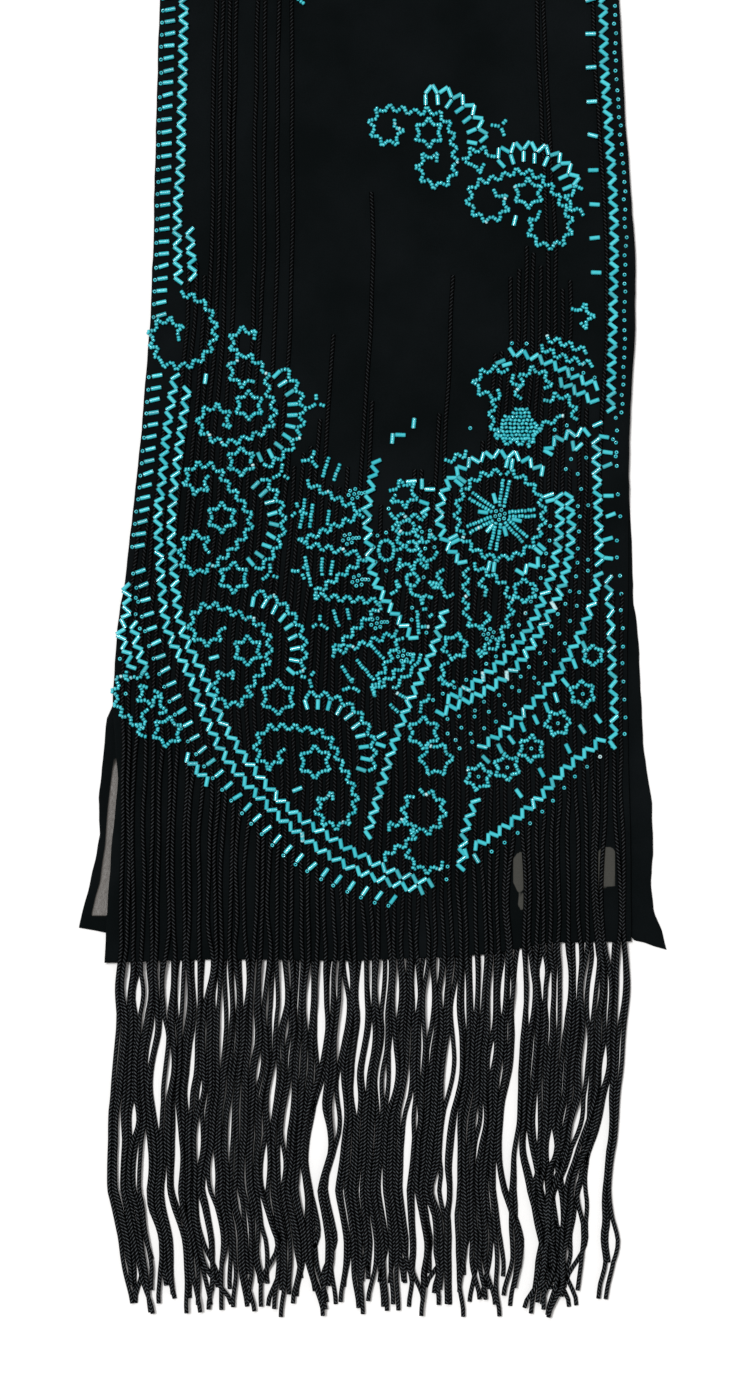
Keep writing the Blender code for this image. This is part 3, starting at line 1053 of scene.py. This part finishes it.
def rosette(x, y, tail=2):
    seed(x, y)
    for i in range(6):
        seed(*polar((x, y), beadSet["rosetteReach"], i * 60 + 15))
    for i in range(tail):
        seed(x + 4.2 + 1.7 * i, y + 0.6)


def hoop(x, y, wide, tall, corners):
    ring = around((0.0, 0.0), 1.0, 0.0, 360.0, corners)
    threads([(x + wide * across, y + tall * up) for across, up in ring])


def sprig(x, y, turn=90.0, arms=3):
    for i in range(arms):
        angle = turn + i * 360.0 / arms
        strung(polar((x, y), 1.0, angle), polar((x, y), 5.2, angle))


crescentBand = (41.0, 67.0)


def ticks(route, spacing, fromAngle, toAngle):
    # a bugle across the row, and a seed at its outer end, but none over the crescent
    stations = walk(route, spacing)
    for i, (x, y, _, _) in enumerate(stations):
        if crescentBand[0] < y < crescentBand[1]:
            continue
        angle = between(fromAngle, toAngle, i / max(1, len(stations) - 1))
        angle += beadRng.uniform(-6, 6)
        bugle(x, y, angle)
        seed(*polar((x, y), 4.2, angle + 180))


def seedRow(route, spacing, jitter=0.5):
    for x, y, _, _ in walk(route, spacing):
        seed(x + beadRng.uniform(-jitter, jitter), y + beadRng.uniform(-jitter, jitter))


def moved(route, right, up):
    # the same route, moved
    return [(x + right, y + up) for x, y in route]


# Border beads. Routes are x, y in mm, and the last number of a bugle is its angle
startWork("border")
foldTop = foldStartY - 4.0
ticks([(panelEdges(y)[0] + 6.0, y) for y in range(470, -66, -8)], 6.6, 8.0, 14.0)
pointedTicks = curved([
    (-125, -70.7), (-118.3, -103.5), (-107.7, -134), (-98.6, -155.5), (-81.3, -181.8),
    (-60.4, -206), (-38.4, -226), (-10, -241), (6.5, -247), (17, -249),
])
ticks(pointedTicks, 7.9, 18.0, 58.0)
zigzag(curved([
    (-100.5, foldTop), (-101.5, 330), (-101.8, 237.6), (-103.4, 151), (-105.3, 120), (-104.6, 82),
]))
zigzag([(-98.6, 114.5), (-96.4, 83)])
zigzag(curved([
    (-106.1, 36), (-110.8, 5.9), (-113.7, -24), (-115.6, -39), (-114.5, -66), (-111, -101),
    (-99.6, -125), (-90, -150), (-75, -177), (-44, -209), (-9.5, -232), (24, -242.5), (31, -244),
]), 8.3, 8.9)
zigzag(curved([
    (-99.6, 29), (-102.9, 5.9), (-108, -36), (-107.5, -66), (-102.9, -101.5), (-91.5, -126),
    (-80, -154), (-63, -179), (-44, -200), (-18.6, -217), (8.4, -232), (34, -240),
]), 8.3, 8.9, -1)
zigzag(curved([(-133.2, -77), (-132.2, -92), (-136, -104), (-132.6, -114), (-128.5, -127)]))
zigzag(curved([(-129.3, -98), (-126.4, -112), (-122, -126.5)]))
zigzag(curved([(-101, -170), (-94, -178), (-87.8, -186.3)]))
rightBorder = curved([
    (124.5, foldTop), (124.5, 237.6), (126.6, 181), (130.1, 126), (130, 81), (128.5, 14),
])
zigzag(rightBorder)
seedRow(moved(rightBorder, 6.3, 0), 5.0)
seeds(((131.5, 12), (131.8, 5), (131.3, -1.6), (131.5, -9)))
rightLower = curved([(120.6, 1.5), (121, -16), (121.4, -32), (122.4, -58), (122.6, -70)])
zigzag(rightLower)
bugle(121.4, 8.3, 28)
for x, y in (
    (124.8, 1.4), (126.7, -7), (126.7, -13.8), (127.3, -30.4), (128.7, -40.8), (126.9, -53.7),
    (126.9, -63.7),
):
    bugle(x, y, beadRng.uniform(-20, 20))
    seed(x + 5.2, y + beadRng.uniform(-1, 1))
strewn([(117.7, 237.6 + 18.4 * i) for i in range(12)], 4, 16)
strewn([(117.7 + 0.4 * i, 237.6 - 18.4 * (i + 1)) for i in range(8)], -12, 14)
rightBranch = curved([(127.2, -73), (128.5, -99), (129.3, -124), (130.5, -150), (129, -168)])
zigzag(rightBranch, 9.4)
seedRow(moved(rightBranch, 6, 0), 9.6)
leftBranch = curved([
    (122.3, -71), (116.7, -94), (104.9, -118), (90.5, -138), (72, -155.5), (54.3, -169),
])
zigzag(leftBranch)
branchTicks = [
    (114, -111), (109, -121), (104, -131), (99, -139), (94, -144), (88, -151), (81, -155),
    (75, -162), (68.6, -166.6), (61, -172.5),
]
strewn(branchTicks, -75, -45)
rightSlope = curved([(124.7, -161), (103.7, -178), (87.8, -195.5), (68.3, -211), (52.7, -221)])
zigzag(rightSlope, 7.7)
seedRow(moved(rightSlope, 4.6, -4.8), 8.6)
strewn([(121.7, -150.5), (113, -156), (105.6, -166.6), (91, -179.7), (79, -190.6)], -66, -48)
strewn([(50.5, -223), (56, -226)], 100, 125)
zigzag(curved([(56.4, -193), (50, -211), (47.1, -234)]))
sweepInner = curved([
    (100.8, -28.6), (100.6, -54), (93.7, -82), (79.5, -109), (57, -130), (36.5, -142.6),
])
sweepOuter = curved([
    (105.7, -28), (107, -54), (100.5, -83), (80.4, -119), (60, -136), (34.3, -148.3),
])
zigzag(sweepInner, 7.6)
zigzag(sweepOuter, 7.6, side=-1)
seedRow(moved(sweepInner[4:], -5.2, 1.2), 7.0)
# loose rows of seeds outside the sweep, up to the border and its branch
borderX = [(y, x) for x, y in rightLower]
branchX = [(y, x) for x, y in leftBranch]
for gap, spacing in ((5.5, 7.4), (11.0, 8.4), (16.5, 7.8), (22.0, 8.2)):
    for x, y, dx, dy in walk(sweepOuter, spacing):
        x += beadRng.uniform(-1.6, 1.6) - dy * gap
        y += beadRng.uniform(-1.6, 1.6) + dx * gap
        atBranch = y < -71 and x > readTable(branchX, y) - 4.5
        if x <= readTable(borderX, y) - 5.0 and not atBranch:
            seed(x, y)
zigzag(curved([(2.4, -9.7), (-2.4, -34), (-2.4, -53.5), (1.4, -76), (14.3, -97), (26, -111)]))
zigzag(curved([(39.4, -91), (31.5, -116), (21, -139), (12, -162.5), (4.3, -188.5), (-3.6, -216)]))
bugles(((5, -159.5, 30), (4.6, -164.7, -20)))

# Motifs right of the middle
startWork("right")
flower = (68.9, -40.5)
rosette(*flower, 0)


def petalPoint(angle, reach, aside):
    # out along a petal, and aside from its middle line
    return polar(polar(flower, reach, angle), aside, angle + 90)


for angle in (80, 3, -45, -102, -155, 147):
    for side in (1, -1):
        strung(petalPoint(angle, 4.4, 1.2 * side), petalPoint(angle, 19.4, 1.8 * side))
for angle in (108, -17, -73, -128, 172):
    bugle(*polar(flower, 9.4, angle), angle)
seedZigzag(around(flower, 23.4, 88, 448, 40))
for angle in (80, 140, 19, -41, -100, -152):
    for aside in (-1.4, 1.4):
        bugle(*petalPoint(angle, 28.2, aside), angle)
zigzag(around(flower, 32.8, 42, 236, 30), 7.9)
seedZigzag([(53.8, -67.6), (61.7, -71.5), (67.7, -75), (72, -79)])
wavy((71.6, -80), (75, -88), (73.6, -97), (69, -105), (67.2, -111))
zigzag(around(flower, 32.6, 285, 318, 8), 7.9)
wavy((39.9, -12.5), (44, -9.5), (50, -8), (53.5, -5.3))

# The cone of seeds, row by row (y, left x, right x), and the wavy lines over it
coneRows = (
    (16.4, 77.4, 83.2), (14.5, 75.8, 84.2), (12.5, 71.4, 84.4), (10.5, 70.4, 86), (8.5, 69.8, 87.6),
    (6.5, 70, 88), (4.5, 70.4, 87.2), (2.5, 71, 86.4), (0.6, 72.2, 84.4),
)
for y, left, right in coneRows:
    count = round((right - left) / beadSet["coneSpacing"])
    for i in range(count + 1):
        put("seed", between(left, right, i / count), y, 60 + 60 * (i % 2))
wavy((68.5, 1), (64.6, 8), (64.5, 16), (67, 23), (69.5, 27))
wavy((65, 24), (60, 24.5), (55.5, 28.5), (57, 34), (62, 37.8), (68, 38), (73, 36))
wavy((74.5, 34.5), (77.5, 30), (78.5, 25), (79, 19))
seedZigzag(around((87.4, 30.2), 7.8, 200, -50, 14))
wavy((93, 20), (98, 23.5), (103.5, 23.5), (108, 20), (108.8, 13), (109.5, 7))
wavy((87, 7.5), (92, 7.5), (97, 10.5), (101.4, 11), (101.6, 15))
wavy((68.2, 6), (68.4, 0.4), (75.3, -1.4), (82.8, -0.8), (88.6, 1), (88.8, 6))
strung((83.6, -1.6), (85, -4.6))
zigzag(curved([(117.5, 4), (108.5, 3.6), (100.8, 0.8), (94.8, -4), (95.6, -12)]), 7.6)
zigzag([(106.5, -2.2), (110.2, -4.4), (114.6, -3.8)], 8.0)
zigzag(curved([(73.2, 47.5), (84.5, 45.4), (97.5, 40.5), (110.4, 33.5), (123.4, 28)]))
zigzag(curved([(100.2, 32), (112, 25), (123.2, 19)]))
wavy((93.2, 55), (103, 52), (116.4, 47.5))
wavy((90, 50), (99, 46), (108, 43), (120.7, 40.5))
bugles(((69.1, 42, 25), (72.6, 40.6, 18), (22.5, 8.8, 80), (15, 2.8, -3)))
seeds(((75.4, 52), (83, 51.7), (108, 38), (114, 36), (120, 33.5), (52.6, 6.5)))
seeds(((98.3, 5.4), (105, 8), (107.4, -10.3), (115.2, -9.6), (104.3, -15.7), (111, -18.6)))

# Loops and sprays between the middle line and the flower
seedZigzag(around((16.9, -29.2), 6.3, 170, -200, 20))
for route in (
    [(9, -41), (20, -41.5), (31, -42)],
    [(12, -44), (13, -51.5), (15.4, -55), (14.5, -63)],
    [(24, -47), (25.6, -56), (24, -63)],
    [(26, -56.5), (30, -52.5), (36, -52)],
    [(26, -68.3), (31, -67.5), (32, -62.5), (38, -61.8)],
    [(19.8, -80.5), (22.7, -82), (24.9, -87.5), (32.8, -83.4)],
    [(34.3, -76.2), (30.6, -79.1), (32.1, -82.7)],
    [(36.9, -69.6), (35.9, -76.5), (35.2, -81.5), (40.9, -83.4), (43.8, -85.4)],
    [(50.5, -69), (50.3, -80), (50.4, -91), (51, -98), (55.5, -101.5), (61.5, -100.4), (63, -90)],
    [(62.6, -108), (62.2, -113), (56.6, -115.4), (57, -121)],
    [(39.6, -119.5), (37.2, -126), (37, -131.5), (44, -131.5)],
    [(58.5, -74.5), (59.2, -80), (62.7, -84.4)],
    [(11.5, -84), (11.8, -77.5), (16, -78.4)],
):
    seedZigzag(route)
seedZigzag(around((19.8, -62), 6.9, 200, 380, 14))
for ring in (
    (7.5, -59.6, 4.3, 5.8, 8), (21.2, -57.4, 3.2, 2.8, 6), (21.6, -75.5, 3.7, 3.7, 5),
    (18.4, -47.2, 4.6, 4, 7),
):
    hoop(*ring)
bugles(((21, -22.5, 5), (26.7, -24, -88), (31, -27, 0), (28, -34, -22), (28.5, -38.3, 33)))
seeds((
    (2.8, -51.6), (7.5, -50.2), (0.6, -58.1), (1.7, -66.1), (7.5, -70.8), (13.3, -70.1),
    (26.7, -49.5), (31, -49.1), (28.5, -58.9), (33.5, -57.8), (8.6, -37.2), (21.2, -90.7),
    (27.7, -74), (21.3, -97.2), (29.2, -104),
))
for route in (
    [(24.2, -92), (24.9, -105)],
    [(26.3, -91.4), (30, -91.4)],
    [(26.3, -100.8), (30.6, -100.8)],
    [(30, -96), (33, -94)],
    [
        (26.2, -115.5), (25, -120), (21, -123.2), (21, -127), (15, -128.3), (14, -134),
        (10.2, -133.4),
    ],
    [(13, -136.5), (19.6, -140.4)],
    [(25.8, -147.4), (26.6, -141.2), (30.5, -140.4), (30.5, -137.3)],
    [(9.5, -142.7), (14.1, -147.4)],
    [(37.5, -133), (38.2, -130.6), (42.1, -132.6), (44.1, -130)],
    [(72, -107.6), (68, -107.4), (67.4, -113), (62.4, -112.4)],
):
    threads(route)
star(82, -81.5, 7.0)
star(44.6, -111.6, 7.6, 75)
rosette(62.6, -104.6, 0)
star(119, -116.4, 6.0)
for x, y in ((113.3, -137), (100, -152.8), (85.6, -166.6), (72.6, -176.6), (57.2, -182)):
    star(x, y, 7.6, beadRng.uniform(60, 100))
    seed(x, y)
star(27.6, -158, 9.2)
star(34.3, -172.3, 9.7, 60)
seedZigzag(around((27.6, -200.7), 11.0, 120, 470, 22))
wavy((22, -208), (22, -215), (16, -219), (10, -222), (5, -227))
wavy((18.8, -221), (21, -228), (27, -232), (33, -232), (41, -227))
seedZigzag([(20, -206), (12, -206.5), (5, -212)])
seeds(((40.6, -230.5), (40, -237)))
seedZigzag(around((113, 66.6), 5.4, 150, -130, 12))

# The two clouds high on the right
cloud(
    scroll((8.9, 169.6), 9.7, 75, 400, 0.3)[::-1],
    [(17.4, 177.8), (24, 176.4), (31.8, 177.6), (40.5, 171.5), (43.2, 163), (44.4, 155)],
    scroll((34.8, 146.8), 9.8, 10, -320, 0.3),
    (30.4, 165.8, 8.1),
    ((31.8, 160.9), 28.4, 98, -2, "bugle", 8.2),
)
cloud(
    scroll((63.2, 130.0), 11.3, 105, 425, 0.35)[::-1],
    [(62.2, 140), (71.4, 142.6), (80, 145), (90.6, 141.5), (98.4, 133.5), (103.5, 125)],
    scroll((95.6, 115.8), 11.5, 25, -265, 0.6),
    (84.1, 133, 8.3),
    ((82.9, 130.1), 28.7, 125, 15, "bugle", 7.9),
)
wavy((49.5, 150.5), (53, 156), (59, 157), (64, 154), (65, 149))
threads([(49.5, 150), (56, 147.4), (58.4, 143.8)])
strung((58.3, 144.4), (60.4, 149.6))
wavy((113, 137), (107, 133.5), (105, 128), (110, 123.5), (115, 123))
bugle(76.7, 118.4, 75)
sprig(69.4, 169, 52)
strung((-42, 239), (-36.5, 235.5))

# Motifs left of the middle
startWork("left")
crescent = around((-104.6, 59.1), 19.8, 88, -88, 14)
crescent += [(-110, 40.3), (-115.5, 42)] + scroll((-110.6, 55.4), 9.3, 236, -50, 0.4)
seedZigzag(crescent)
seedZigzag(around((-69.3, 52.6), 7.2, 15, 240, 10))
cloud(
    scroll((-68.6, 37.5), 8.3, 60, 310, 0.8, 60)[::-1],
    [(-57.5, 37), (-56.8, 27), (-52.9, 16), (-56.2, 6), (-68, 0.9), (-80, -1.8)],
    scroll((-85, 9.4), 8.6, 225, -90, 0.35),
    (-66.6, 18.5, 8.1),
    ((-69, 15), 31.5, 50, -72),
)
cloud(
    scroll((-93.4, -21), 7.6, 60, 380, 0.45)[::-1],
    [(-84, -15), (-78.5, -24), (-70.8, -33), (-65.3, -45), (-72, -55.5), (-82, -65)],
    scroll((-94.8, -61.5), 8.6, -50, -400, 0.35, 110.0, 1.25),
    (-81.3, -42, 8.3),
    ((-78.5, -44.2), 30.5, 52, -58),
)
cloud(
    scroll((-87.2, -99.8), 10.9, 40, 350, 0.6)[::-1],
    [(-76.4, -92.8), (-66, -96.5), (-57, -104), (-55.6, -115), (-59.3, -125.4)],
    scroll((-75.6, -133.4), 9.9, 5, -330, 0.35),
    (-67.3, -113.7, 8.2),
    ((-68, -113.3), 31.5, 82, -20),
)
cloud(
    scroll((-54, -166), 8.6, 60, 355, 0.6, 110.0, 1.3)[::-1],
    [(-46, -155), (-35.2, -156.3), (-24, -160), (-18, -172.7), (-12, -184), (-9, -193)],
    scroll((-20, -199), 9.7, 0, -320, 0.35),
    (-30.9, -173.8, 9.3),
    ((-31.1, -169.2), 32.0, 100, -22),
)
for x, y, radius in ((-70.8, -11.7, 8.0), (-74.9, -74.4, 8.6), (-51, -139, 9.9)):
    star(x, y, radius)
for x, y in ((-10, -29.3), (-13, -53.6), (-8, -76), (2.2, -99), (16.3, -116.4)):
    rosette(x, y)
seedZigzag([(-36, -23), (-5, -39)])
# leaves: out to the tip and back
seedZigzag([(-5, -40), (-40, -55.5), (-3.5, -62.5)])
seedZigzag([(-3.5, -64), (-33, -84), (5, -87.5)])
seedZigzag([(5.5, -88.5), (-23.5, -116), (15.5, -103.5)], -1)
seedZigzag([(15.5, -106), (-1.5, -138), (25.5, -114)])
# seeds on threads between the leaves: ends of each
for a, b in (
    ((-23.5, -9), (-27, -21)), ((-17.5, -13), (-21, -22)), ((-36.3, -31.5), (-39, -48)),
    ((-32, -34), (-34, -48)), ((-23.2, -38), (-24.3, -46)), ((-36.3, -63), (-33.3, -79)),
    ((-27.2, -63), (-27.2, -73.5)), ((-21.4, -65.5), (-22.5, -73)), ((-21.4, -91.5), (-18, -101)),
    ((-13.5, -91), (-12.7, -97)), ((-8.8, -118.5), (1, -130)), ((-16.5, -122), (-11.5, -130)),
    ((-1.5, -110), (6, -118)),
):
    strung(a, b)
for x, y in (
    (-30, 20), (-33, -10.8), (-49, -18.4), (-40, -38.3), (-55, -72.4), (-38.5, -71), (-28.4, -99),
    (-11.2, -133), (-34.4, -128.5),
):
    sprig(x, y, beadRng.uniform(40, 100))
for route in (
    [(-135, -126.4), (-139, -135), (-138, -142.6), (-134, -148.8), (-127, -154), (-122.4, -163)],
    [(-134, -126), (-129, -130), (-125.9, -126.4), (-118.5, -127)],
    [(-115.3, -140), (-112, -144), (-114, -149), (-112.8, -151.5)],
    [(-122.8, -145), (-122.8, -150), (-125.5, -155), (-121.6, -160)],
):
    wavy(*route)
seedZigzag(around((-120.6, -137.4), 5.4, 100, 420, 14))
star(-110.6, -157.4, 8.4, 80)
seeds(((-127.7, -85.3), (-127.7, -94), (-125.3, -102), (-136.4, -118.4), (-133.3, -137)))
bugles(((-40.4, -188.8, 25), (-85.4, -117.7, 15), (-90, 33, 85), (10.9, 0.7, 86)))
print("beads laid out")


def beadTree(name, sides, rounded):
    inputs = (("Width", "Float"), ("Hole", "Float"), ("Length", "Float"), ("Material", "Material"))
    t = Tree(name, inputs)
    outer, inner = t.given("Width") * 0.5, t.given("Hole") * 0.5
    length, wall = t.given("Length"), outer - inner
    if rounded:
        sockets = {"X": wall, "Y": length, "Z": 1.0}
        scale = t.node("ShaderNodeCombineXYZ", None, sockets)
        shape = t.node("Transform", None, {"Geometry": t.ring(5, 0.5), "Scale": scale})
    else:
        sockets = {"Width": wall, "Height": length}
        shape = t.node("CurvePrimitiveQuadrilateral", None, sockets)
        shape = t.node("SubdivideCurve", None, {"Curve": shape, "Cuts": 1})
    height = t.axis("Y") / length
    shape = t.keep(shape, "end", height.maths("ABSOLUTE"))
    sockets = {"Curve": t.ring(sides, (outer + inner) * 0.5), "Profile Curve": shape}
    bead = t.node("CurveToMesh", None, sockets)
    aim = t.node("InputNamedAttribute", {"data_type": "FLOAT_VECTOR"}, {"Name": "aim"})
    turned = t.node("FunctionNodeAlignRotationToVector", {"axis": "Z"}, {"Vector": aim})
    sockets = {"Points": t.given("Geometry"), "Instance": bead, "Rotation": turned}
    return t.finish(t.node("InstanceOnPoints", None, sockets))


def makeBeadFinish(s):
    f = Finish("turquoiseGlass")
    tone = f.attribute("tone")
    streaks = f.grain(f.place(), 700.0, 2.0)
    colour = f.blend(f.range(tone * 0.75 + streaks * 0.35, 0.1, 0.9), s["mid"], s["light"])
    colour = f.blend(f.range(tone, 0.86, 0.88) * 0.55, colour, s["deep"])
    colour = f.blend(f.range(tone * 5.0 + 0.3 * streaks, 0.22, 0.16) * 0.7, colour, s["glint"])
    # painted shade: the ends of lying beads darkened where they meet their neighbours
    paintedEndShade = f.range(f.attribute("end"), 0.4, 0.5) * f.range(f.attribute("lying"), 0.1, 0.5)
    colour = f.blend(paintedEndShade * 0.7, colour, s["hole"])
    surface = {
        "Base Color": colour,
        "Roughness": 0.18,
        "Specular IOR Level": 0.6,
        "Coat Weight": 0.4,
        "Coat Roughness": 0.06,
    }
    return f.close(surface, streaks, 0.00004, 0.5)


beadFinish = makeBeadFinish(beadSet)
kinds = ("bugle", "seed")
beadTrees = {k: beadTree(k + "Bead", beadSet[k + "Sides"], k == "seed") for k in kinds}


def makeBeads(name, kind):
    rows = work[name][kind]
    values = {label: beadSet[kind + label] * mm for label in ("Width", "Hole", "Length")}
    values["Material"] = beadFinish
    lying = [1.0 - r[1][2] for r in rows]
    attributes = {"aim": [r[1] for r in rows], "tone": [r[2] for r in rows], "lying": lying}
    pieceName = name + kind.title() + "s"
    made = grow(pieceName, [r[0] for r in rows], [], attributes, beadTrees[kind], values)
    made.data.shade_smooth()
    if kind == "bugle":
        made.data.set_sharp_from_angle(angle=math.radians(50))
    print(pieceName, len(rows), "beads")
    return made


beadPieces = [makeBeads(name, kind) for name in ("border", "right", "left") for kind in kinds]
print("beads made")

# Floor and light
stageSet = {
    "size": 6.0,
    "floor": linear("fdfdfd"),
    "shade": linear("f6f6f6"),
    "world": 0.42,
    "worldColour": (1.0, 0.965, 0.94, 1.0),
    "white": (1.0, 1.0, 1.0, 1.0),
    "table": -0.1,
}


def makeStage(s):
    f = Finish("whiteTable")
    tone = f.grain(f.place(), 2.0)
    colour = f.blend(tone * 0.2, s["floor"], s["shade"])
    surface = {"Base Color": colour, "Roughness": 0.9, "Specular IOR Level": 0.0}
    material = f.close(surface, tone, 0.00001)
    reach = s["size"] / 2 / mm
    signs = ((-1, -1), (1, -1), (1, 1), (-1, 1))
    corners = [(x * reach, y * reach, s["table"]) for x, y in signs]
    floor = makeObject("tableTop", corners, [(0, 1, 2, 3)], material)
    # dim warm light from all round, behind which the camera sees white
    world = bpy.data.worlds.new("softRoom")
    world.use_nodes = True
    sky = Nodes(world.node_tree, "ShaderNode")
    sky.tree.nodes.clear()
    dim = sky.node("Background", None, {"Color": s["worldColour"], "Strength": s["world"]})
    plain = sky.node("Background", None, {"Color": s["white"], "Strength": 1.0})
    seen = sky.node("LightPath", output="Is Camera Ray")
    mixed = sky.node("MixShader", None, {0: seen, 1: dim, 2: plain})
    sky.node("OutputWorld", None, {"Surface": mixed})
    scene.world = world


def makeLight(name, kind, place, settings):
    # a light that points at the middle of the table
    data = bpy.data.lights.new(name, kind)
    for key, value in settings.items():
        setattr(data, key, value)
    light = bpy.data.objects.new(name, data)
    light.location = place
    light.rotation_euler = (-Vector(place)).to_track_quat("-Z", "Y").to_euler()
    scene.collection.objects.link(light)


makeStage(stageSet)
makeLight("overheadLight", "SUN", (-0.36, 0.3, 1.4), {"energy": 2.1, "angle": math.radians(12)})
makeLight("keyLamp", "AREA", (-0.25, 0.5, 1.9), {"energy": 5.0, "size": 0.35})
scene.view_settings.view_transform = "Standard"
print("stage made")

# Every piece hangs from the root body, and the CAD halves and fringes are hidden
for piece in (upperCloth, lowerCloth, leftCords, rightCords, lowerCords, *beadPieces):
    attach(piece, "root")
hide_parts("upper_half")
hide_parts("lower_half")
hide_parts("upper_fringe")
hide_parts("lower_fringe")
